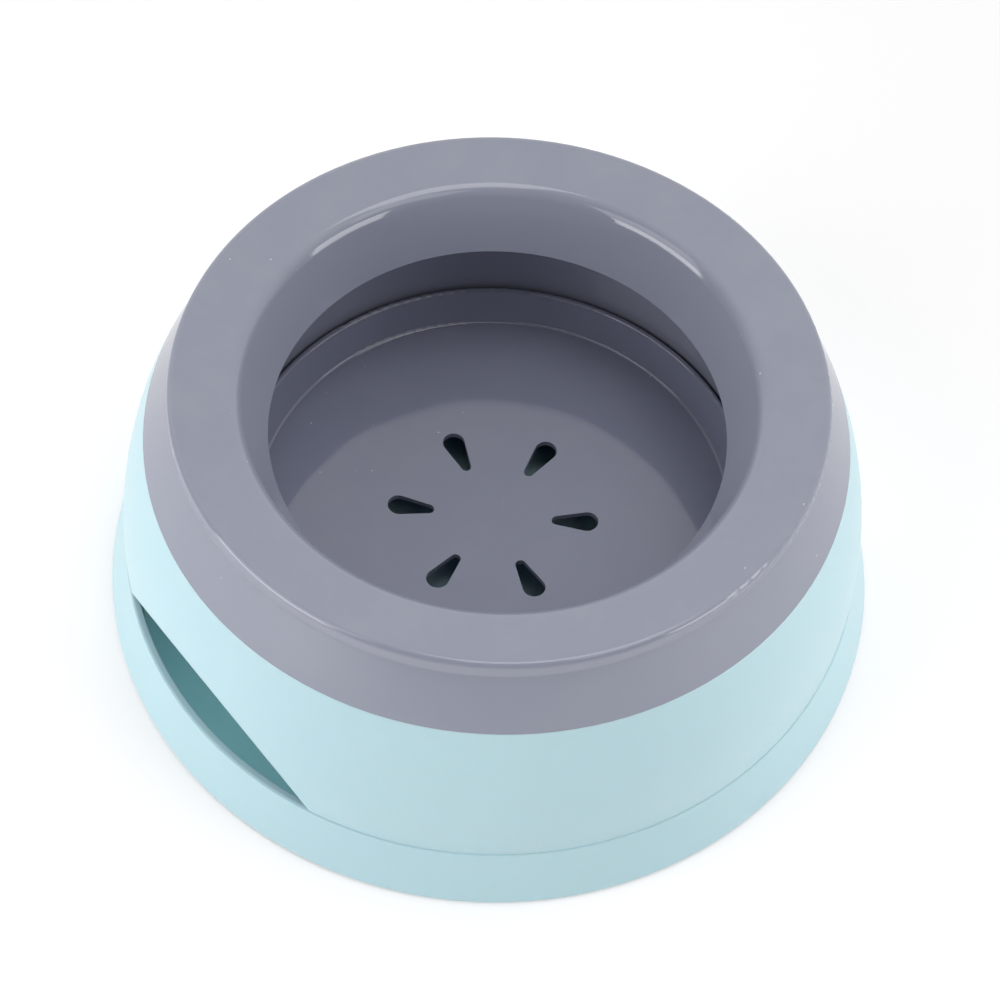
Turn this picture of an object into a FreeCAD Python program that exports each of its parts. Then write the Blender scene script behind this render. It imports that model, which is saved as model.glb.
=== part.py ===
import FreeCAD, Part

import math
import os

# Spill-proof water bowl for a dog: a flared base shell with a reservoir moulded into it, a press-on
# splash lid with an in-turned lip, a dish that floats on the water inside, a seal and a foot ring.
# Millimetres, +Z up, origin on the floor at the centre of the foot. The grip slots lie on -X and +X.

# Base shell: foot and curved outer wall
FOOT_RADIUS = 112.0
FOOT_FLARE = 6.3
FOOT_TOP_HEIGHT = 17.6
FOOT_EDGE_ROUND = 0.7
CREASE_DEPTH = 0.35
BASE_WALL = 1.7
WALL_CURVE_RADIUS = 118.0
SEAM_EDGE_ROUND = 0.4

# Reservoir inside the base shell
RESERVOIR_DRAFT = 1.8
RESERVOIR_FLOOR_HEIGHT = 4.4
RESERVOIR_CORNER_ROUND = 4.4
MOUTH_EDGE_ROUND = 0.9

# Upstand of the base that centres the lid
SPIGOT_HEIGHT = 5.0
SPIGOT_WALL = 2.0
LID_FIT_GAP = 0.35

# Grip slots: circular arches above a level sill
SLOT_SILL_RISE = 0.4
SLOT_HEIGHT = 25.7
SLOT_ARCH_RADIUS = 47.6

# Stiffening ribs under the base's deck
GUSSET_COUNT = 6
GUSSET_THICKNESS = 1.6
GUSSET_DEPTH = 12.0

# Channel under the foot and the rubber ring that lies in it
CHANNEL_DEPTH = 3.6
CHANNEL_INSET = 8.6
CHANNEL_RIB_WALL = 1.8
FOOT_RING_PROUD = 0.6
FOOT_RING_WIDTH = 3.3
FOOT_RING_GAP = 0.2

# Splash lid: flared skirt, short collar, sloping rim, rolled lip
LID_HEIGHT = 85.0
LID_WALL = 2.3
SKIRT_DEPTH = 14.4
SKIRT_FLARE = 8.0
COLLAR_HEIGHT = 4.5
COLLAR_ROUND = 1.6
COLLAR_FOOT_ROUND = 1.2
RIM_SLOPE_DEG = 14.3
LIP_ROUND = 5.4
LIP_DEPTH = 22.0
LIP_OVERHANG = 12.7
LIP_SLOPE_DEG = 21.0
LID_GUSSET_COUNT = 8
LID_GUSSET_THICKNESS = 1.2

# Guide skirt inside the lid, and the seal on it
GUIDE_STEP = 12.1
GUIDE_WALL = 2.4
GUIDE_DRAFT = 0.5
GUIDE_FOOT_RISE = 19.6
SEAL_ROOM = 2.3
SEAL_HEIGHT = 3.4
SEAL_DEPTH = 5.5
SEAL_CLEARANCE = 0.3
SEAL_SIDE_GAP = 0.15
SEAL_BEAD_HEIGHT = 1.2
SEAL_BEAD_STAND = 1.1

# Float dish: sloping floor, steep wall, rolled rim, skirt that stands on the reservoir's floor
DISH_WALL = 1.8
DISH_GUIDE_GAP = 0.8
DISH_HEIGHT = 28.6
DISH_CENTRE_RISE = 12.6
DISH_RIM_ROUND = 1.0
DISH_WALL_LEAN_DEG = 20.5
DISH_FLOOR_SLOPE_DEG = 4.9
DISH_CORNER_ROUND = 1.2
DISH_SKIRT_DRAFT = 0.9
DISH_NOTCH_COUNT = 8
DISH_NOTCH_WIDTH = 11.0
DISH_NOTCH_HEIGHT = 3.0

# Teardrop drinking holes in the dish
HOLE_COUNT = 6
HOLE_TURN_DEG = 16.0
HOLE_INNER_REACH = 17.2
HOLE_OUTER_REACH = 30.7
HOLE_INNER_RADIUS = 1.5
HOLE_OUTER_RADIUS = 3.25

Z_AXIS = FreeCAD.Vector(0, 0, 1)


def point(radius, height):
    return FreeCAD.Vector(radius, 0, height)


def rounded_profile(corners):
    """Closed profile in the X-Z plane. A corner is (radius, height), or (radius, height, rounding),
    and a corner with a fourth value starts an arc through that point to the next corner."""
    count = len(corners)
    spots = [point(c[0], c[1]) for c in corners]
    rounds = [c[2] if len(c) > 2 else 0.0 for c in corners]
    vias = [c[3] if len(c) > 3 else None for c in corners]
    starts = list(spots)
    ends = list(spots)
    arcs = [None] * count
    for i in range(count):
        if rounds[i] <= 0:
            continue
        before = (spots[i - 1] - spots[i]).normalize()
        after = (spots[(i + 1) % count] - spots[i]).normalize()
        half = before.getAngle(after) / 2
        reach = rounds[i] / math.tan(half)
        starts[i] = spots[i] + before * reach
        ends[i] = spots[i] + after * reach
        middle = (before + after).normalize()
        arc_top = spots[i] + middle * (rounds[i] / math.sin(half) - rounds[i])
        arcs[i] = Part.Arc(starts[i], arc_top, ends[i]).toShape()
    edges = []
    for i in range(count):
        following = (i + 1) % count
        if arcs[i]:
            edges.append(arcs[i])
        if vias[i]:
            edges.append(Part.Arc(ends[i], vias[i], starts[following]).toShape())
        elif (starts[following] - ends[i]).Length > 1e-6:
            edges.append(Part.LineSegment(ends[i], starts[following]).toShape())
    return Part.Wire(edges)


def turned(corners):
    """Solid turned about the bowl's axis from a closed profile."""
    face = Part.Face(rounded_profile(corners))
    solid = face.revolve(FreeCAD.Vector(0, 0, 0), Z_AXIS, 360)
    return solid.removeSplitter()


def radial_plate(corners, thickness, angle):
    """Flat plate standing in a radial plane, centred on that plane."""
    wire = rounded_profile(corners)
    plate = Part.Face(wire).extrude(FreeCAD.Vector(0, thickness, 0))
    plate.translate(FreeCAD.Vector(0, -thickness / 2, 0))
    plate.rotate(FreeCAD.Vector(0, 0, 0), Z_AXIS, angle)
    return plate


def around(count, first=0.0):
    return [first + 360.0 * i / count for i in range(count)]


FOOT_TOP_RADIUS = FOOT_RADIUS - FOOT_FLARE
SHOULDER_HEIGHT = LID_HEIGHT - COLLAR_HEIGHT
SEAM_HEIGHT = SHOULDER_HEIGHT - SKIRT_DEPTH


def wall_radius(height, inset=0.0):
    """Radius of the curved outer wall, or of the surface that lies inset behind it."""
    rise = height - FOOT_TOP_HEIGHT
    curve = WALL_CURVE_RADIUS - inset
    return FOOT_TOP_RADIUS - CREASE_DEPTH - WALL_CURVE_RADIUS + math.sqrt(curve ** 2 - rise ** 2)


def wall_arc(low, high, inset=0.0):
    """Point in the middle of the wall's arc between two heights."""
    middle = (low + high) / 2
    return point(wall_radius(middle, inset), middle)


def foot_radius(height, inset=0.0):
    """Radius of the flared foot at a height, or of the surface inset behind it, square to the cone."""
    fall = FOOT_TOP_HEIGHT - FOOT_RING_PROUD
    slant = math.hypot(fall, FOOT_FLARE)
    return FOOT_TOP_RADIUS + FOOT_FLARE * (FOOT_TOP_HEIGHT - height) / fall - inset * slant / fall


SEAM_RADIUS = wall_radius(SEAM_HEIGHT)
COLLAR_RADIUS = SEAM_RADIUS - SKIRT_FLARE
SKIRT_SLOPE = SKIRT_FLARE / SKIRT_DEPTH
SKIRT_INSET = LID_WALL * math.hypot(1, SKIRT_SLOPE)
RIM_SLOPE = math.tan(math.radians(RIM_SLOPE_DEG))
LIP_SLOPE = math.tan(math.radians(LIP_SLOPE_DEG))

GUIDE_TOP_RADIUS = COLLAR_RADIUS - GUIDE_STEP
GUIDE_OUTER_RADIUS = GUIDE_TOP_RADIUS + GUIDE_DRAFT + GUIDE_WALL
GUIDE_FOOT_HEIGHT = RESERVOIR_FLOOR_HEIGHT + GUIDE_FOOT_RISE
LIP_EDGE_RADIUS = GUIDE_TOP_RADIUS - LIP_OVERHANG
LIP_EDGE_HEIGHT = LID_HEIGHT - LIP_DEPTH
SEAL_CENTRE_HEIGHT = SEAM_HEIGHT - SEAL_DEPTH
RESERVOIR_MOUTH_RADIUS = GUIDE_OUTER_RADIUS + SEAL_ROOM
CHANNEL_RIB_RADIUS = FOOT_RADIUS - CHANNEL_INSET
CHANNEL_TOP_HEIGHT = FOOT_RING_PROUD + CHANNEL_DEPTH


def reservoir_radius(height):
    depth = SEAM_HEIGHT - RESERVOIR_FLOOR_HEIGHT
    return RESERVOIR_MOUTH_RADIUS - RESERVOIR_DRAFT * (SEAM_HEIGHT - height) / depth


def skirt_inner_radius(height):
    """Inner radius of the lid's flared skirt."""
    return SEAM_RADIUS - SKIRT_SLOPE * (height - SEAM_HEIGHT) - SKIRT_INSET


def guide_inner_radius(height):
    fall = LID_HEIGHT - GUIDE_FOOT_HEIGHT
    return GUIDE_TOP_RADIUS + GUIDE_DRAFT * (LID_HEIGHT - height) / fall


def base_profile():
    wall_start = FOOT_TOP_HEIGHT + CREASE_DEPTH
    wall_end = SEAM_HEIGHT - 2 * SEAM_EDGE_ROUND
    web_top = CHANNEL_TOP_HEIGHT + BASE_WALL
    deck_under = SEAM_HEIGHT - BASE_WALL
    rib_outer = CHANNEL_RIB_RADIUS + CHANNEL_RIB_WALL
    spigot_foot = skirt_inner_radius(SEAM_HEIGHT) - LID_FIT_GAP
    spigot_head = skirt_inner_radius(SEAM_HEIGHT + SPIGOT_HEIGHT) - LID_FIT_GAP
    floor_under = RESERVOIR_FLOOR_HEIGHT - BASE_WALL
    outer_corner = RESERVOIR_CORNER_ROUND + BASE_WALL
    return [
        (FOOT_RADIUS, FOOT_RING_PROUD, FOOT_EDGE_ROUND),
        (FOOT_TOP_RADIUS, FOOT_TOP_HEIGHT),
        (FOOT_TOP_RADIUS - 2 * CREASE_DEPTH, FOOT_TOP_HEIGHT + CREASE_DEPTH / 2),
        (wall_radius(wall_start), wall_start, 0.0, wall_arc(wall_start, wall_end)),
        (wall_radius(wall_end), wall_end),
        (SEAM_RADIUS, SEAM_HEIGHT, SEAM_EDGE_ROUND),
        (spigot_foot, SEAM_HEIGHT),
        (spigot_head, SEAM_HEIGHT + SPIGOT_HEIGHT),
        (spigot_head - SPIGOT_WALL, SEAM_HEIGHT + SPIGOT_HEIGHT),
        (spigot_foot - SPIGOT_WALL, SEAM_HEIGHT),
        (RESERVOIR_MOUTH_RADIUS, SEAM_HEIGHT, MOUTH_EDGE_ROUND),
        (reservoir_radius(RESERVOIR_FLOOR_HEIGHT), RESERVOIR_FLOOR_HEIGHT, RESERVOIR_CORNER_ROUND),
        (0.0, RESERVOIR_FLOOR_HEIGHT),
        (0.0, floor_under),
        (reservoir_radius(floor_under) + BASE_WALL, floor_under, outer_corner),
        (reservoir_radius(deck_under) + BASE_WALL, deck_under),
        (wall_radius(deck_under, BASE_WALL), deck_under, 0.0,
         wall_arc(FOOT_TOP_HEIGHT, deck_under, BASE_WALL)),
        (wall_radius(FOOT_TOP_HEIGHT, BASE_WALL), FOOT_TOP_HEIGHT),
        (foot_radius(web_top, BASE_WALL), web_top),
        (CHANNEL_RIB_RADIUS, web_top),
        (CHANNEL_RIB_RADIUS, FOOT_RING_PROUD),
        (rib_outer, FOOT_RING_PROUD),
        (rib_outer, CHANNEL_TOP_HEIGHT),
        (foot_radius(CHANNEL_TOP_HEIGHT, BASE_WALL), CHANNEL_TOP_HEIGHT),
        (foot_radius(FOOT_RING_PROUD, BASE_WALL), FOOT_RING_PROUD),
    ]


def deck_gusset(angle):
    """Triangular rib between the reservoir and the outer wall, under the deck."""
    bite = BASE_WALL / 4
    top = SEAM_HEIGHT - BASE_WALL / 2
    foot = top - GUSSET_DEPTH
    heel = top - GUSSET_DEPTH / 2
    corners = [
        (reservoir_radius(top) + BASE_WALL - bite, top),
        (wall_radius(top, BASE_WALL) + bite, top),
        (wall_radius(heel, BASE_WALL) + bite, heel),
        (reservoir_radius(foot) + BASE_WALL - bite, foot),
    ]
    return radial_plate(corners, GUSSET_THICKNESS, angle)


def slot_cutter(angle):
    """Arch-shaped prism that opens one grip slot through the outer wall only."""
    start = RESERVOIR_MOUTH_RADIUS + 2 * BASE_WALL
    length = FOOT_RADIUS - start
    sill = FOOT_TOP_HEIGHT + SLOT_SILL_RISE
    centre = FreeCAD.Vector(start, 0, sill + SLOT_HEIGHT - SLOT_ARCH_RADIUS)
    arch = Part.makeCylinder(SLOT_ARCH_RADIUS, length, centre, FreeCAD.Vector(1, 0, 0))
    block = Part.makeBox(length, 2 * SLOT_ARCH_RADIUS, SLOT_ARCH_RADIUS)
    block.translate(FreeCAD.Vector(start, -SLOT_ARCH_RADIUS, sill))
    cutter = arch.common(block)
    cutter.rotate(FreeCAD.Vector(0, 0, 0), Z_AXIS, angle)
    return cutter


def base_shell():
    """Aqua moulding: foot, outer wall, deck, lid spigot and reservoir in one piece."""
    shell = turned(base_profile())
    shell = shell.fuse([deck_gusset(a) for a in around(GUSSET_COUNT, 180.0 / GUSSET_COUNT)])
    shell = shell.cut([slot_cutter(a) for a in (0.0, 180.0)])
    return shell.removeSplitter()


def rim_height(radius, drop=0.0):
    """Height of the lid's sloping rim, which is tangent to the round of the collar's edge."""
    tangent_rise = COLLAR_ROUND * (math.hypot(1, RIM_SLOPE) - 1)
    return LID_HEIGHT + tangent_rise - RIM_SLOPE * (COLLAR_RADIUS - COLLAR_ROUND - radius) - drop


def crossing(radius_at_zero, height_at_zero):
    """Radius where a line that leans like the lip meets one that slopes like the rim."""
    return (radius_at_zero + LIP_SLOPE * height_at_zero) / (1 - LIP_SLOPE * RIM_SLOPE)


def lid_profile():
    rim_drop = LID_WALL * math.hypot(1, RIM_SLOPE)
    lip_back = LIP_EDGE_RADIUS + LID_WALL * math.hypot(1, LIP_SLOPE)
    lip_lean = LIP_SLOPE * LIP_EDGE_HEIGHT
    roll_radius = crossing(LIP_EDGE_RADIUS - lip_lean, rim_height(0.0))
    pocket_radius = crossing(lip_back - lip_lean, rim_height(0.0, rim_drop))
    collar_inner = COLLAR_RADIUS - LID_WALL
    bead_outer = GUIDE_OUTER_RADIUS + SEAL_BEAD_STAND
    groove = SEAL_HEIGHT / 2 + SEAL_SIDE_GAP
    groove_low = SEAL_CENTRE_HEIGHT - groove
    groove_high = SEAL_CENTRE_HEIGHT + groove
    return [
        (SEAM_RADIUS, SEAM_HEIGHT),
        (COLLAR_RADIUS, SHOULDER_HEIGHT, COLLAR_FOOT_ROUND),
        (COLLAR_RADIUS, rim_height(COLLAR_RADIUS), COLLAR_ROUND),
        (roll_radius, rim_height(roll_radius), LIP_ROUND),
        (LIP_EDGE_RADIUS, LIP_EDGE_HEIGHT),
        (lip_back, LIP_EDGE_HEIGHT),
        (pocket_radius, rim_height(pocket_radius, rim_drop)),
        (GUIDE_TOP_RADIUS, rim_height(GUIDE_TOP_RADIUS, rim_drop)),
        (guide_inner_radius(GUIDE_FOOT_HEIGHT), GUIDE_FOOT_HEIGHT),
        (GUIDE_OUTER_RADIUS, GUIDE_FOOT_HEIGHT),
        (GUIDE_OUTER_RADIUS, groove_low - SEAL_BEAD_HEIGHT),
        (bead_outer, groove_low - SEAL_BEAD_HEIGHT),
        (bead_outer, groove_low),
        (GUIDE_OUTER_RADIUS, groove_low),
        (GUIDE_OUTER_RADIUS, groove_high),
        (bead_outer, groove_high),
        (bead_outer, groove_high + SEAL_BEAD_HEIGHT),
        (GUIDE_OUTER_RADIUS, groove_high + SEAL_BEAD_HEIGHT),
        (GUIDE_OUTER_RADIUS, rim_height(GUIDE_OUTER_RADIUS, rim_drop)),
        (collar_inner, rim_height(collar_inner, rim_drop)),
        (collar_inner, SHOULDER_HEIGHT),
        (skirt_inner_radius(SEAM_HEIGHT), SEAM_HEIGHT),
    ]


def lid_gusset(angle):
    """Small rib between the guide skirt and the outer skirt, above the base's spigot."""
    bite = LID_WALL / 4
    foot = SEAM_HEIGHT + SPIGOT_HEIGHT + 2 * LID_FIT_GAP
    collar_bite = COLLAR_RADIUS - LID_WALL + bite
    corners = [
        (GUIDE_OUTER_RADIUS - bite, foot + LID_WALL),
        (skirt_inner_radius(foot) + bite, foot),
        (collar_bite, SHOULDER_HEIGHT),
        (collar_bite, rim_height(collar_bite, LID_WALL)),
        (GUIDE_OUTER_RADIUS - bite, rim_height(GUIDE_OUTER_RADIUS - bite, LID_WALL)),
    ]
    return radial_plate(corners, LID_GUSSET_THICKNESS, angle)


def splash_lid():
    """Grey moulding: outer skirt, collar, sloping rim, rolled lip and the dish's guide skirt."""
    lid = turned(lid_profile())
    lid = lid.fuse([lid_gusset(a) for a in around(LID_GUSSET_COUNT)])
    return lid.removeSplitter()


def lid_seal():
    """Silicone ring in the groove of the guide skirt, lightly waisted on its outer face."""
    inner = GUIDE_OUTER_RADIUS
    outer = reservoir_radius(SEAL_CENTRE_HEIGHT) - SEAL_CLEARANCE
    low = SEAL_CENTRE_HEIGHT - SEAL_HEIGHT / 2
    high = SEAL_CENTRE_HEIGHT + SEAL_HEIGHT / 2
    waist = outer - (outer - inner) / 4
    lip = SEAL_HEIGHT / 5
    return turned([
        (inner, low),
        (outer, low),
        (outer, low + lip),
        (waist, SEAL_CENTRE_HEIGHT),
        (outer, high - lip),
        (outer, high),
        (inner, high),
    ])


def foot_ring():
    """Rubber ring that fills the channel under the foot and stands a little proud of it."""
    inner = CHANNEL_RIB_RADIUS + CHANNEL_RIB_WALL + FOOT_RING_GAP
    outer = inner + FOOT_RING_WIDTH
    return turned([
        (inner, 0.0),
        (outer, 0.0),
        (outer, CHANNEL_TOP_HEIGHT),
        (inner, CHANNEL_TOP_HEIGHT),
    ])


DISH_RIM_HEIGHT = RESERVOIR_FLOOR_HEIGHT + DISH_HEIGHT
DISH_RADIUS = guide_inner_radius(DISH_RIM_HEIGHT) - DISH_GUIDE_GAP
DISH_LEAN = math.tan(math.radians(DISH_WALL_LEAN_DEG))
DISH_FLOOR_SLOPE = math.tan(math.radians(DISH_FLOOR_SLOPE_DEG))

# Where the dish wall would meet the rim's top plane, so that the rim is round from side to side
DISH_RIM_FLAT = DISH_RIM_ROUND / 50
DISH_RIM_INNER = DISH_RADIUS - DISH_RIM_FLAT - DISH_RIM_ROUND * (
    1 + math.tan(math.radians(45 - DISH_WALL_LEAN_DEG / 2)))
DISH_FLOOR_RADIUS = (DISH_RIM_INNER - DISH_LEAN * (DISH_HEIGHT - DISH_CENTRE_RISE)) / (
    1 - DISH_LEAN * DISH_FLOOR_SLOPE)


def dish_floor_height(radius):
    return RESERVOIR_FLOOR_HEIGHT + DISH_CENTRE_RISE + DISH_FLOOR_SLOPE * radius


def dish_profile():
    """Section of the dish. Its underside follows the floor and the wall, one wall thickness away."""
    floor_edge = dish_floor_height(DISH_FLOOR_RADIUS)
    skirt_inner = DISH_RADIUS - DISH_WALL
    skirt_foot = DISH_RADIUS - DISH_SKIRT_DRAFT
    drop = DISH_WALL * math.hypot(1, DISH_FLOOR_SLOPE)
    back_shift = DISH_WALL * math.hypot(1, DISH_LEAN)
    meet_height = floor_edge + (skirt_inner - DISH_FLOOR_RADIUS - back_shift) / DISH_LEAN
    under_radius = DISH_FLOOR_RADIUS + (back_shift - DISH_LEAN * drop) / (
        1 - DISH_LEAN * DISH_FLOOR_SLOPE)
    return [
        (0.0, dish_floor_height(0.0)),
        (0.0, dish_floor_height(0.0) - drop),
        (under_radius, dish_floor_height(under_radius) - drop, DISH_CORNER_ROUND + DISH_WALL),
        (skirt_inner, meet_height),
        (skirt_foot - DISH_WALL, RESERVOIR_FLOOR_HEIGHT),
        (skirt_foot, RESERVOIR_FLOOR_HEIGHT),
        (DISH_RADIUS, DISH_RIM_HEIGHT - 2 * DISH_RIM_ROUND),
        (DISH_RADIUS, DISH_RIM_HEIGHT, DISH_RIM_ROUND),
        (DISH_RIM_INNER, DISH_RIM_HEIGHT, DISH_RIM_ROUND),
        (DISH_FLOOR_RADIUS, floor_edge, DISH_CORNER_ROUND),
    ]


def teardrop(angle):
    """Prism of one teardrop hole: two circles and their outer tangents, wide end outward."""
    inner = HOLE_INNER_REACH + HOLE_INNER_RADIUS
    outer = HOLE_OUTER_REACH - HOLE_OUTER_RADIUS
    tilt = math.acos((HOLE_INNER_RADIUS - HOLE_OUTER_RADIUS) / (outer - inner))

    def rim_point(centre, radius, sign):
        return FreeCAD.Vector(centre + radius * math.cos(tilt), sign * radius * math.sin(tilt), 0)

    low_in = rim_point(inner, HOLE_INNER_RADIUS, -1)
    high_in = rim_point(inner, HOLE_INNER_RADIUS, 1)
    low_out = rim_point(outer, HOLE_OUTER_RADIUS, -1)
    high_out = rim_point(outer, HOLE_OUTER_RADIUS, 1)
    wire = Part.Wire([
        Part.LineSegment(low_in, low_out).toShape(),
        Part.Arc(low_out, FreeCAD.Vector(HOLE_OUTER_REACH, 0, 0), high_out).toShape(),
        Part.LineSegment(high_out, high_in).toShape(),
        Part.Arc(high_in, FreeCAD.Vector(HOLE_INNER_REACH, 0, 0), low_in).toShape(),
    ])
    prism = Part.Face(wire).extrude(FreeCAD.Vector(0, 0, DISH_RIM_HEIGHT))
    prism.rotate(FreeCAD.Vector(0, 0, 0), Z_AXIS, angle)
    return prism


def dish_notch(angle):
    """Passage under the dish's skirt that lets the water in."""
    length = 4 * DISH_WALL
    notch = Part.makeBox(length, DISH_NOTCH_WIDTH, 2 * DISH_NOTCH_HEIGHT)
    notch.translate(FreeCAD.Vector(DISH_RADIUS - length / 2, -DISH_NOTCH_WIDTH / 2,
                                   RESERVOIR_FLOOR_HEIGHT - DISH_NOTCH_HEIGHT))
    notch.rotate(FreeCAD.Vector(0, 0, 0), Z_AXIS, angle)
    return notch


def float_dish():
    """Grey dish that rides on the water: it stands on the reservoir's floor when the bowl is empty."""
    dish = turned(dish_profile())
    holes = [teardrop(a) for a in around(HOLE_COUNT, HOLE_TURN_DEG)]
    notches = [dish_notch(a) for a in around(DISH_NOTCH_COUNT)]
    return dish.cut(holes + notches).removeSplitter()


SUB_PARTS = {
    "base_shell": base_shell,
    "splash_lid": splash_lid,
    "float_dish": float_dish,
    "lid_seal": lid_seal,
    "foot_ring": foot_ring,
}

os.makedirs("parts", exist_ok=True)
for name, build in SUB_PARTS.items():
    shape = build()
    shape.exportStep(f"parts/{name}.step")
    box = shape.optimalBoundingBox()
    print(f"{name}: valid {shape.isValid()}, solids {len(shape.Solids)}, "
          f"volume {shape.Volume / 1000:.1f} cm3, height {box.ZMin:.2f} to {box.ZMax:.2f}, "
          f"width {box.XLength:.2f}")
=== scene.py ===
import bpy
import math
from mathutils import Matrix, Vector

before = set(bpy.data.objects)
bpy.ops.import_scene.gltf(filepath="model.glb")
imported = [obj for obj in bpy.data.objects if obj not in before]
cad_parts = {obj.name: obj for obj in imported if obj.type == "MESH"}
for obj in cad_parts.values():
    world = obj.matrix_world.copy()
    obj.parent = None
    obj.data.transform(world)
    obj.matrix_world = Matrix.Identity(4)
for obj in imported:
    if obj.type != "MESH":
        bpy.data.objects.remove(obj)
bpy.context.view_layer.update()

# Table: a sheet of matt white laminate, much larger than the bowl, that runs into white paper far
# behind it. It is seen almost as plain white. Under the bowl it has a painted aqua tint and a faint
# painted aqua glow: painted light for the light that comes through the aqua walls.
mm = 0.001
white = (1.0, 1.0, 1.0, 1.0)
table_reach = 4.0
table_white = (0.86, 0.86, 0.86, 1.0)
table_painted_aqua_light = (0.52, 0.84, 0.86, 1.0)
open_lift = (0.225, 0.215, 0.215, 1.0)
covered_painted_glow = (0.036, 0.086, 0.088, 1.0)
covered_radius = 107.0 * mm
fade_start, fade_end = 0.45, 1.4
grain_scale = 700.0
grain_height = 0.02 * mm


def feed_node(tree, node, feeds):
    """Sets inputs of a node. A feed is a fixed value or the socket that drives the input."""
    for name, value in feeds.items():
        if isinstance(value, bpy.types.NodeSocket):
            tree.links.new(value, node.inputs[name])
        else:
            node.inputs[name].default_value = value


def place_node(tree, kind, feeds=None, **settings):
    """Puts one shader node in a tree, with its settings and its feeds."""
    placed = tree.nodes.new(kind)
    for name, value in settings.items():
        setattr(placed, name, value)
    feed_node(tree, placed, feeds or {})
    return placed


def blend_colour(tree, factor, first, second):
    """Mix of two colours. Each may be a fixed colour or a socket."""
    mixed = place_node(tree, "ShaderNodeMix", {0: factor, 6: first, 7: second}, data_type="RGBA")
    return mixed.outputs[2]


table_mesh = bpy.data.meshes.new("table_top")
table_mesh.from_pydata(
    [(-table_reach, -table_reach, 0), (table_reach, -table_reach, 0),
     (table_reach, table_reach, 0), (-table_reach, table_reach, 0)], [], [(0, 1, 2, 3)])
table = bpy.data.objects.new("table_top", table_mesh)
bpy.context.scene.collection.objects.link(table)

laminate = bpy.data.materials.new("white_laminate")
laminate.use_nodes = True
tree = laminate.node_tree
tree.nodes.clear()
coords = place_node(tree, "ShaderNodeTexCoord")
mottle = place_node(tree, "ShaderNodeTexNoise", {
    "Vector": coords.outputs["Object"], "Scale": grain_scale, "Detail": 3.0})
grain = place_node(tree, "ShaderNodeBump", {
    "Height": mottle.outputs["Fac"], "Distance": grain_height})
from_axis = place_node(
    tree, "ShaderNodeVectorMath", {0: coords.outputs["Object"]}, operation="LENGTH")
open_table = place_node(tree, "ShaderNodeMath", {
    0: from_axis.outputs["Value"], 1: covered_radius}, operation="GREATER_THAN")
# Under the bowl the sheet's colour is a painted aqua tint: painted light from the aqua walls.
sheet_painted_tint = blend_colour(tree, open_table.outputs["Value"], table_painted_aqua_light, table_white)
sheet = place_node(tree, "ShaderNodeBsdfPrincipled", {
    "Base Color": sheet_painted_tint, "Roughness": 0.62, "Specular IOR Level": 0.15,
    "Normal": grain.outputs["Normal"]})

# Lift of the sheet to white, for the camera and for reflections only, so that it lights nothing.
# Under the bowl the lift is a faint painted aqua glow instead: painted light from the aqua walls.
path = place_node(tree, "ShaderNodeLightPath")
seen = place_node(tree, "ShaderNodeMath", {
    0: path.outputs["Is Camera Ray"], 1: path.outputs["Is Glossy Ray"]}, operation="MAXIMUM")
lift_and_painted_glow = blend_colour(tree, open_table.outputs["Value"], covered_painted_glow, open_lift)
glow = place_node(tree, "ShaderNodeEmission", {"Color": lift_and_painted_glow, "Strength": seen.outputs["Value"]})
lifted = place_node(tree, "ShaderNodeAddShader", {
    0: sheet.outputs["BSDF"], 1: glow.outputs["Emission"]})
distant = place_node(tree, "ShaderNodeMapRange", {
    "Value": from_axis.outputs["Value"], "From Min": fade_start, "From Max": fade_end})
behind = place_node(tree, "ShaderNodeMath", {
    0: distant.outputs["Result"], 1: path.outputs["Is Camera Ray"]}, operation="MULTIPLY")
paper = place_node(tree, "ShaderNodeEmission", {"Color": white})
faded = place_node(tree, "ShaderNodeMixShader", {
    0: behind.outputs["Value"], 1: lifted.outputs["Shader"], 2: paper.outputs["Emission"]})
place_node(tree, "ShaderNodeOutputMaterial", {"Surface": faded.outputs["Shader"]})
table_mesh.materials.append(laminate)
laminate.cycles.emission_sampling = "NONE"

# Camera: held above the bowl's front, looking steeply down at it from about half a metre, and
# turned a few degrees about its own axis.
image_size = 1000
focal_pixels = 1850
sight_azimuth = math.radians(-132.0)
sight_elevation = math.radians(57.566)
sight_distance = 553.9 * mm
look_yaw = math.radians(0.194)
look_pitch = math.radians(1.526)
look_roll = math.radians(3.458)


def toward(azimuth, elevation):
    """Direction from the bowl's centre, from two angles in radians."""
    level = math.cos(elevation)
    return Vector((math.cos(azimuth) * level, math.sin(azimuth) * level, math.sin(elevation)))


outward = toward(sight_azimuth, sight_elevation)
rightward = Vector((-math.sin(sight_azimuth), math.cos(sight_azimuth), 0.0))
aim = -outward * math.cos(look_yaw) + rightward * math.sin(look_yaw)
level_right = aim.cross(rightward.cross(-outward)).normalized()
aim, upward = (aim * math.cos(look_pitch) + level_right.cross(aim) * math.sin(look_pitch),
               level_right.cross(aim) * math.cos(look_pitch) - aim * math.sin(look_pitch))
rolled_right = level_right * math.cos(look_roll) + upward * math.sin(look_roll)
rolled_up = rolled_right.cross(aim)
camera_data = bpy.data.cameras.new("camera")
camera_data.sensor_width = 36.0
camera_data.lens = camera_data.sensor_width * focal_pixels / image_size
camera_data.clip_start = 0.01
camera_data.clip_end = 20.0
camera = bpy.data.objects.new("camera", camera_data)
bpy.context.scene.collection.objects.link(camera)
camera.matrix_world = (Matrix.Translation(outward * sight_distance)
                       @ Matrix((rolled_right, rolled_up, -aim)).transposed().to_4x4())
bpy.context.scene.camera = camera

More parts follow.
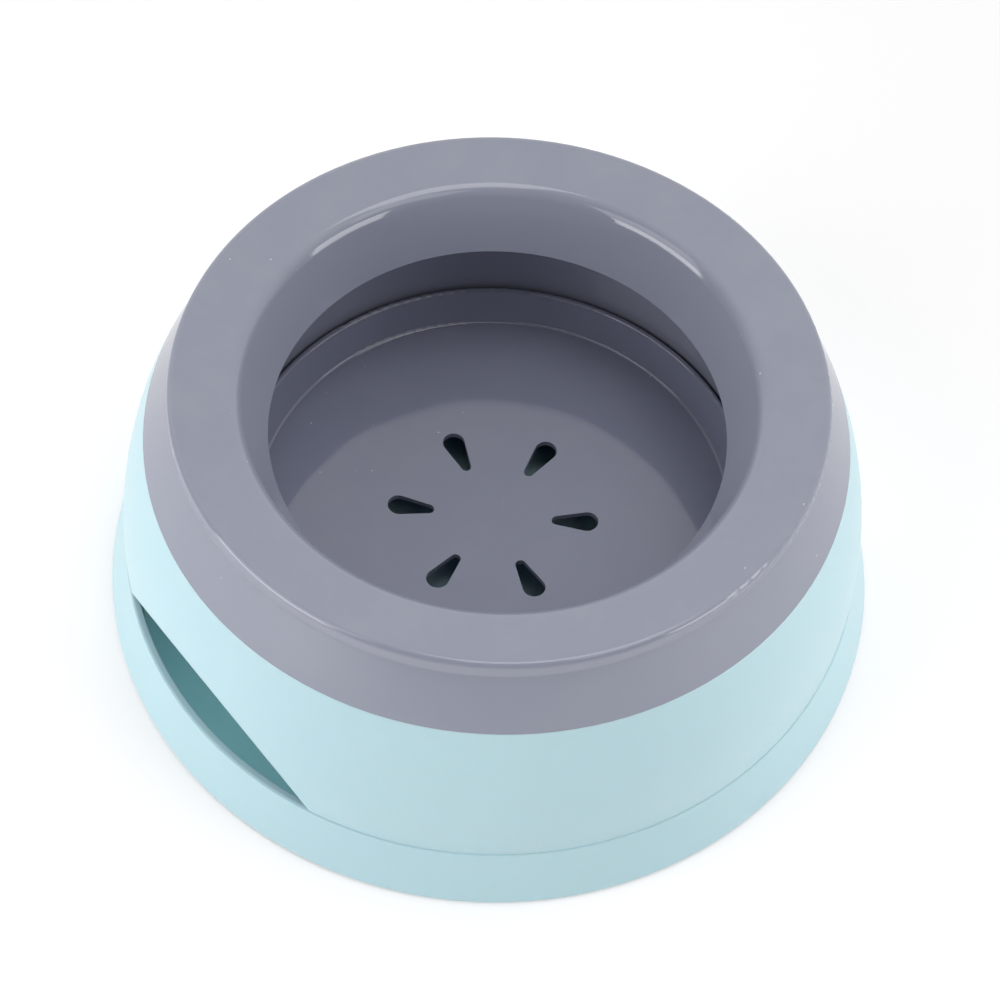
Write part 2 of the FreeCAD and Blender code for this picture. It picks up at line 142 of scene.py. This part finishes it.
# Studio: soft boxes to the left and right of the camera, weaker ones above and overhead, and a
# white sweep of paper behind the bowl that fills the shadows. The boxes' rows give azimuth and
# elevation in degrees, distance and size in metres, and power in watts.
lit_height = 45.0 * mm
soft_boxes = [
    ("soft_box_left", 167.5, 27.0, 1.10, (0.74, 1.10), 4.1),
    ("soft_box_left_low", 167.5, 12.0, 1.05, (0.74, 0.50), 3.9),
    ("soft_box_right", 293.5, 16.0, 1.10, (0.60, 0.60), 4.3),
    ("soft_box_above", 278.0, 55.0, 1.10, (0.60, 0.40), 0.9),
    ("soft_box_top", 330.0, 82.0, 1.10, (0.50, 0.50), 1.8),
]
for name, azimuth, elevation, distance, (width, height), watts in soft_boxes:
    lamp = bpy.data.lights.new(name, "AREA")
    lamp.shape = "RECTANGLE"
    lamp.size = width
    lamp.size_y = height
    lamp.energy = watts
    box = bpy.data.objects.new(name, lamp)
    bpy.context.scene.collection.objects.link(box)
    away = toward(math.radians(azimuth), math.radians(elevation))
    box.location = away * distance + Vector((0, 0, lit_height))
    box.rotation_mode = "QUATERNION"
    box.rotation_quaternion = (-away).to_track_quat("-Z", "Y")
    box.visible_camera = False

room_grey = 0.02
sweep_bright = 1.15
sweep_side = toward(math.radians(35.0), math.radians(25.0))
sweep_edge, sweep_full = -0.2, 0.7
studio = bpy.data.worlds.new("studio")
studio.use_nodes = True
bpy.context.scene.world = studio
tree = studio.node_tree
tree.nodes.clear()
sky = place_node(tree, "ShaderNodeTexCoord")
facing = place_node(tree, "ShaderNodeVectorMath", {
    0: sky.outputs["Generated"], 1: sweep_side}, operation="DOT_PRODUCT")
sweep = place_node(tree, "ShaderNodeMapRange", {
    "Value": facing.outputs["Value"], "From Min": sweep_edge, "From Max": sweep_full,
    "To Min": room_grey, "To Max": sweep_bright}, interpolation_type="SMOOTHSTEP")
fill = place_node(tree, "ShaderNodeBackground", {"Strength": sweep.outputs["Result"]})
backdrop = place_node(tree, "ShaderNodeBackground", {"Color": white})
path = place_node(tree, "ShaderNodeLightPath")
shown = place_node(tree, "ShaderNodeMixShader", {
    0: path.outputs["Is Camera Ray"], 1: fill.outputs["Background"],
    2: backdrop.outputs["Background"]})
place_node(tree, "ShaderNodeOutputWorld", {"Surface": shown.outputs["Shader"]})
bpy.context.scene.view_settings.view_transform = "Standard"

# Base shell: one moulding in pale aqua polypropylene, foot, curved wall, deck and reservoir in
# one piece. Its satin skin comes from the mould, and thin walls let a little light through.
aqua_pale = (0.525, 0.745, 0.820, 1.0)
aqua_deep = (0.505, 0.725, 0.803, 1.0)
# Edge colour: a lighter aqua for rubbed wear and for painted light of thin translucent edges.
aqua_rubbed_edge_light = (0.56, 0.84, 0.88, 1.0)
rubbed_and_lit_share = 0.25
dust_colour = (0.80, 0.79, 0.76, 1.0)


def effect_group(name, takes, gives):
    """Empty group of shader nodes with named inputs and outputs."""
    group = bpy.data.node_groups.new(name, "ShaderNodeTree")
    for label, start in takes:
        socket = group.interface.new_socket(label, in_out="INPUT", socket_type="NodeSocketFloat")
        socket.default_value = start
    for label, kind in gives:
        group.interface.new_socket(label, in_out="OUTPUT", socket_type=kind)
    entry, leave = group.nodes.new("NodeGroupInput"), group.nodes.new("NodeGroupOutput")
    return group, entry.outputs, leave.inputs


# Skin of a moulding: slow sink and flow waves, orange peel from the mould steel and fine grain,
# all in millimetres of height, with a slow change of shade.
moulded_skin, takes, gives = effect_group(
    "moulded_skin", [("Waves", 0.02), ("Peel", 0.001), ("Grain", 0.0005)],
    [("Height", "NodeSocketFloat"), ("Shade", "NodeSocketFloat"), ("Fine", "NodeSocketFloat")])
coords = place_node(moulded_skin, "ShaderNodeTexCoord")
waves = place_node(moulded_skin, "ShaderNodeTexNoise", {
    "Vector": coords.outputs["Object"], "Scale": 38.0, "Detail": 1.0})
peel = place_node(moulded_skin, "ShaderNodeTexNoise", {
    "Vector": coords.outputs["Object"], "Scale": 420.0, "Detail": 1.0})
fine = place_node(moulded_skin, "ShaderNodeTexNoise", {
    "Vector": coords.outputs["Object"], "Scale": 2600.0, "Detail": 1.0})
shade = place_node(moulded_skin, "ShaderNodeTexNoise", {
    "Vector": coords.outputs["Object"], "Scale": 11.0, "Detail": 2.0, "Roughness": 0.6})
low = place_node(moulded_skin, "ShaderNodeMath", {
    0: waves.outputs["Fac"], 1: takes["Waves"]}, operation="MULTIPLY")
middle = place_node(moulded_skin, "ShaderNodeMath", {
    0: peel.outputs["Fac"], 1: takes["Peel"], 2: low.outputs["Value"]}, operation="MULTIPLY_ADD")
high = place_node(moulded_skin, "ShaderNodeMath", {
    0: fine.outputs["Fac"], 1: takes["Grain"], 2: middle.outputs["Value"]},
    operation="MULTIPLY_ADD")
evened = place_node(moulded_skin, "ShaderNodeMapRange", {
    "Value": shade.outputs["Fac"], "From Min": 0.3, "From Max": 0.7})
moulded_skin.links.new(high.outputs["Value"], gives["Height"])
moulded_skin.links.new(evened.outputs["Result"], gives["Shade"])
moulded_skin.links.new(fine.outputs["Fac"], gives["Fine"])

# Rounded edge: the small round that every moulded edge has, and a mask of those edges, which the
# aqua paints lighter as rubbed wear and as painted light of thin translucent edges.
rounded_edge, takes, gives = effect_group(
    "rounded_edge", [("Radius", 0.0004)],
    [("Normal", "NodeSocketVector"), ("Edge", "NodeSocketFloat")])
round_over = place_node(rounded_edge, "ShaderNodeBevel", {"Radius": takes["Radius"]}, samples=4)
surface = place_node(rounded_edge, "ShaderNodeNewGeometry")
turn = place_node(rounded_edge, "ShaderNodeVectorMath", {
    0: round_over.outputs["Normal"], 1: surface.outputs["Normal"]}, operation="DOT_PRODUCT")
edge = place_node(rounded_edge, "ShaderNodeMapRange", {
    "Value": turn.outputs["Value"], "From Min": 0.995, "From Max": 0.90})
rounded_edge.links.new(round_over.outputs["Normal"], gives["Normal"])
rounded_edge.links.new(edge.outputs["Result"], gives["Edge"])

# Settled dust: single specks and a thin cloudy film, both on faces that look up.
settled_dust, takes, gives = effect_group(
    "settled_dust", [("Specks", 0.3), ("Film", 0.3)],
    [("Specks", "NodeSocketFloat"), ("Film", "NodeSocketFloat")])
coords = place_node(settled_dust, "ShaderNodeTexCoord")
surface = place_node(settled_dust, "ShaderNodeNewGeometry")
tilt = place_node(settled_dust, "ShaderNodeSeparateXYZ", {"Vector": surface.outputs["Normal"]})
lying = place_node(settled_dust, "ShaderNodeMapRange", {
    "Value": tilt.outputs["Z"], "From Min": 0.2, "From Max": 0.9})
cells = place_node(settled_dust, "ShaderNodeTexVoronoi", {
    "Vector": coords.outputs["Object"], "Scale": 210.0})
chance = place_node(settled_dust, "ShaderNodeSeparateColor", {"Color": cells.outputs["Color"]})
speck_size = place_node(settled_dust, "ShaderNodeMapRange", {
    "Value": chance.outputs["Green"], "To Min": 0.02, "To Max": 0.075})
speck = place_node(settled_dust, "ShaderNodeMapRange", {
    "Value": cells.outputs["Distance"], "From Min": speck_size.outputs["Result"], "From Max": 0.0,
    "To Max": 1.6})
kept = place_node(settled_dust, "ShaderNodeMath", {
    0: chance.outputs["Red"], 1: takes["Specks"]}, operation="LESS_THAN")
landed = place_node(settled_dust, "ShaderNodeMath", {
    0: speck.outputs["Result"], 1: kept.outputs["Value"]}, operation="MULTIPLY")
lying_speck = place_node(settled_dust, "ShaderNodeMath", {
    0: landed.outputs["Value"], 1: lying.outputs["Result"]}, operation="MULTIPLY", use_clamp=True)
cloud = place_node(settled_dust, "ShaderNodeTexNoise", {
    "Vector": coords.outputs["Object"], "Scale": 60.0, "Detail": 3.0, "Roughness": 0.65})
patches = place_node(settled_dust, "ShaderNodeMapRange", {
    "Value": cloud.outputs["Fac"], "From Min": 0.42, "From Max": 0.72, "To Max": takes["Film"]})
lying_film = place_node(settled_dust, "ShaderNodeMath", {
    0: patches.outputs["Result"], 1: lying.outputs["Result"]}, operation="MULTIPLY",
    use_clamp=True)
settled_dust.links.new(lying_speck.outputs["Value"], gives["Specks"])
settled_dust.links.new(lying_film.outputs["Value"], gives["Film"])

# Hair marks: faint scratches from wiping, in two crossing directions and only here and there.
hair_marks, takes, gives = effect_group(
    "hair_marks", [("Amount", 0.5)], [("Mask", "NodeSocketFloat")])
coords = place_node(hair_marks, "ShaderNodeTexCoord")
patch = place_node(hair_marks, "ShaderNodeTexNoise", {
    "Vector": coords.outputs["Object"], "Scale": 26.0, "Detail": 1.0})
patchy = place_node(hair_marks, "ShaderNodeMapRange", {
    "Value": patch.outputs["Fac"], "From Min": 0.45, "From Max": 0.62, "To Max": takes["Amount"]})
marks = []
for wipe_angle, along, across in ((31.0, 14.0, 1500.0), (-48.0, 20.0, 1900.0)):
    wiped = place_node(hair_marks, "ShaderNodeMapping", {
        "Vector": coords.outputs["Object"], "Rotation": (0.3, 0.2, math.radians(wipe_angle)),
        "Scale": (along, across, along)})
    lines = place_node(hair_marks, "ShaderNodeTexNoise", {
        "Vector": wiped.outputs["Vector"], "Scale": 1.0, "Detail": 1.0})
    marks.append(place_node(hair_marks, "ShaderNodeMapRange", {
        "Value": lines.outputs["Fac"], "From Min": 0.69, "From Max": 0.74}))
either = place_node(hair_marks, "ShaderNodeMath", {
    0: marks[0].outputs["Result"], 1: marks[1].outputs["Result"]}, operation="MAXIMUM")
faint = place_node(hair_marks, "ShaderNodeMath", {
    0: either.outputs["Value"], 1: patchy.outputs["Result"]}, operation="MULTIPLY")
hair_marks.links.new(faint.outputs["Value"], gives["Mask"])


def start_finish(name):
    """New material: itself, its node tree and its shader."""
    finish = bpy.data.materials.new(name)
    finish.use_nodes = True
    return finish, finish.node_tree, finish.node_tree.nodes["Principled BSDF"]


def use_group(tree, group, **values):
    """Places an effect group in a material, sets its inputs and gives its outputs."""
    return place_node(tree, "ShaderNodeGroup", values, node_tree=group).outputs


def raise_skin(tree, skin, **feeds):
    """Normal that shows a skin's height, which is in millimetres."""
    relief = place_node(tree, "ShaderNodeBump", {
        "Height": skin["Height"], "Distance": mm, **feeds})
    return relief.outputs["Normal"]


def wear_gloss(tree, shader, tone, shade, dust, hair_amount, gloss, film_haze, mark_haze):
    """Colour and roughness of a polished piece under settled dust and hair marks.

    gloss holds its lowest and highest roughness when clean, and the two hazes are what a film of
    dust and a hair mark add to it.
    """
    settled = use_group(tree, settled_dust, **dust)
    hairs = use_group(tree, hair_marks, Amount=hair_amount)
    filmed = blend_colour(tree, settled["Film"], tone, dust_colour)
    specked = blend_colour(tree, settled["Specks"], filmed, dust_colour)
    clean = place_node(tree, "ShaderNodeMapRange", {
        "Value": shade, "To Min": gloss[0], "To Max": gloss[1]})
    hazed = place_node(tree, "ShaderNodeMath", {
        0: settled["Film"], 1: film_haze, 2: clean.outputs["Result"]}, operation="MULTIPLY_ADD")
    marked = place_node(tree, "ShaderNodeMath", {
        0: hairs["Mask"], 1: mark_haze, 2: hazed.outputs["Value"]},
        operation="MULTIPLY_ADD", use_clamp=True)
    feed_node(tree, shader, {"Base Color": specked, "Roughness": marked.outputs["Value"]})


def around(point, direction):
    """Parts of a direction at a point: away from the bowl's axis, around it, and up."""
    reach = math.hypot(point.x, point.y) or 1.0
    return ((direction.x * point.x + direction.y * point.y) / reach,
            (direction.y * point.x - direction.x * point.y) / reach, direction.z)


# The mould's turned faces are true all round. So each ring of points on them has one normal, shared
# by faces that meet at less than the crease angle, and the lights they show run on without a break.
crease = math.cos(math.radians(32.0))
turned_limit = 0.03
ring_step = 0.01 * mm


def even_rings(mesh):
    """Gives the points of each ring on a mesh's turned faces one normal."""
    corner_normals = [corner.vector.copy() for corner in mesh.corner_normals]
    rings = {}
    turned = []
    for face in mesh.polygons:
        away, sideways, up = around(face.center, face.normal)
        if abs(sideways) > turned_limit:
            continue
        for corner in face.loop_indices:
            spot = mesh.vertices[mesh.loops[corner].vertex_index].co
            ring = (round(math.hypot(spot.x, spot.y) / ring_step), round(spot.z / ring_step))
            slope = round(math.degrees(math.atan2(up, away)))
            sums = rings.setdefault(ring, {}).setdefault(slope, [0.0, 0.0])
            sums[0] += away * face.area
            sums[1] += up * face.area
            turned.append((corner, spot, ring, slope))
    for corner, spot, ring, slope in turned:
        near = [sums for other, sums in rings[ring].items()
                if math.cos(math.radians(other - slope)) > crease]
        out = sum(sums[0] for sums in near)
        rise = sum(sums[1] for sums in near)
        reach = math.hypot(spot.x, spot.y) or 1.0
        evened_normal = Vector((out * spot.x / reach, out * spot.y / reach, rise))
        corner_normals[corner] = evened_normal.normalized()
    mesh.normals_split_custom_set(corner_normals)


def finish_node(name, finish):
    """Evens the turned faces of a moulded piece and gives it its finish."""
    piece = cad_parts[name]
    even_rings(piece.data)
    piece.data.materials.clear()
    piece.data.materials.append(finish)


aqua, tree, shell = start_finish("aqua_polypropylene")
skin = use_group(tree, moulded_skin, Waves=0.035, Peel=0.0022, Grain=0.0012)
rims = use_group(tree, rounded_edge, Radius=0.25 * mm)
tone = blend_colour(tree, skin["Shade"], aqua_deep, aqua_pale)
# Edges painted a lighter aqua: rubbed wear, and painted light of thin translucent edges.
rub_and_edge_light = place_node(tree, "ShaderNodeMath", {
    0: rims["Edge"], 1: rubbed_and_lit_share}, operation="MULTIPLY")
edged = blend_colour(tree, rub_and_edge_light.outputs["Value"], tone, aqua_rubbed_edge_light)
wear_gloss(tree, shell, edged, skin["Shade"], {"Specks": 0.25, "Film": 0.04}, hair_amount=0.15,
           gloss=(0.30, 0.38), film_haze=0.6, mark_haze=0.25)
feed_node(tree, shell, {
    "Normal": raise_skin(tree, skin, Normal=rims["Normal"]), "Subsurface Weight": 0.3,
    "Subsurface Radius": (0.35, 0.8, 1.0), "Subsurface Scale": 4.0 * mm})
finish_node("base_shell", aqua)

# Foot ring: soft grey rubber, extruded and joined, pressed into the channel under the foot. It
# keeps the bowl from sliding.
rubber_grey = (0.30, 0.31, 0.345, 1.0)
rubber_deep = (0.24, 0.25, 0.28, 1.0)


def dull_skin(tree, shader, tone, skin, specks, speck_colour, roughness):
    """Colour, roughness and normal of a soft matt piece with specks of dust on it."""
    settled = use_group(tree, settled_dust, Specks=specks)
    specked = blend_colour(tree, settled["Specks"], tone, speck_colour)
    matt = place_node(tree, "ShaderNodeMapRange", {
        "Value": skin["Fine"], "To Min": roughness[0], "To Max": roughness[1]})
    feed_node(tree, shader, {"Base Color": specked, "Roughness": matt.outputs["Result"],
                             "Normal": raise_skin(tree, skin)})


rubber, tree, ring = start_finish("foot_rubber")
skin = use_group(tree, moulded_skin, Waves=0.03, Peel=0.012, Grain=0.012)
tone = blend_colour(tree, skin["Fine"], rubber_deep, rubber_grey)
dull_skin(tree, ring, tone, skin, 0.6, dust_colour, roughness=(0.55, 0.8))
feed_node(tree, ring, {"Specular IOR Level": 0.3})
finish_node("foot_ring", rubber)

# Float dish: a thin moulding in lavender-grey polypropylene with a high gloss, which floats in the
# filled bowl. Its shallow floor shows the slow waves of a large thin plate.
# Its grey is a little darker than the lid's: painted shade of the deep well it floats in.
dish_grey_painted_shade = (0.255, 0.270, 0.362, 1.0)
dish_grey_deep_painted_shade = (0.246, 0.260, 0.350, 1.0)
gloss_grey, tree, dish = start_finish("dish_polypropylene")
skin = use_group(tree, moulded_skin, Waves=0.16, Peel=0.0008, Grain=0.0004)
tone = blend_colour(tree, skin["Shade"], dish_grey_deep_painted_shade, dish_grey_painted_shade)
wear_gloss(tree, dish, tone, skin["Shade"], {"Specks": 0.35, "Film": 0.02}, hair_amount=0.2,
           gloss=(0.05, 0.08), film_haze=0.8, mark_haze=0.3)
feed_node(tree, dish, {"Normal": raise_skin(tree, skin), "IOR": 1.6})
finish_node("float_dish", gloss_grey)

# Lid seal: a ring of translucent white silicone, moulded and stretched into the groove of the
# lid's guide skirt. It presses against the reservoir's mouth.
silicone_white = (0.66, 0.67, 0.69, 1.0)
silicone_deep = (0.60, 0.61, 0.64, 1.0)
silicone_speck = (0.45, 0.44, 0.42, 1.0)
silicone, tree, seal = start_finish("silicone")
skin = use_group(tree, moulded_skin, Waves=0.02, Peel=0.006, Grain=0.004)
tone = blend_colour(tree, skin["Shade"], silicone_deep, silicone_white)
dull_skin(tree, seal, tone, skin, 0.5, silicone_speck, roughness=(0.42, 0.58))
feed_node(tree, seal, {"Subsurface Weight": 0.5, "Subsurface Radius": (1.0, 0.95, 0.9),
                       "Subsurface Scale": 2.0 * mm})
finish_node("lid_seal", silicone)

# Splash lid: one moulding in lavender-grey polypropylene, pressed on over the base's spigot. The
# mould is polished on the outside, so the collar and the lip show clear lights.
lid_grey = (0.283, 0.300, 0.374, 1.0)
lid_grey_deep = (0.274, 0.291, 0.363, 1.0)
lavender, tree, lid = start_finish("lavender_polypropylene")
skin = use_group(tree, moulded_skin, Waves=0.05, Peel=0.0008, Grain=0.0004)
tone = blend_colour(tree, skin["Shade"], lid_grey_deep, lid_grey)
wear_gloss(tree, lid, tone, skin["Shade"], {"Specks": 0.3, "Film": 0.03}, hair_amount=0.2,
           gloss=(0.06, 0.09), film_haze=0.8, mark_haze=0.3)
feed_node(tree, lid, {"Normal": raise_skin(tree, skin), "IOR": 1.6})
finish_node("splash_lid", lavender)
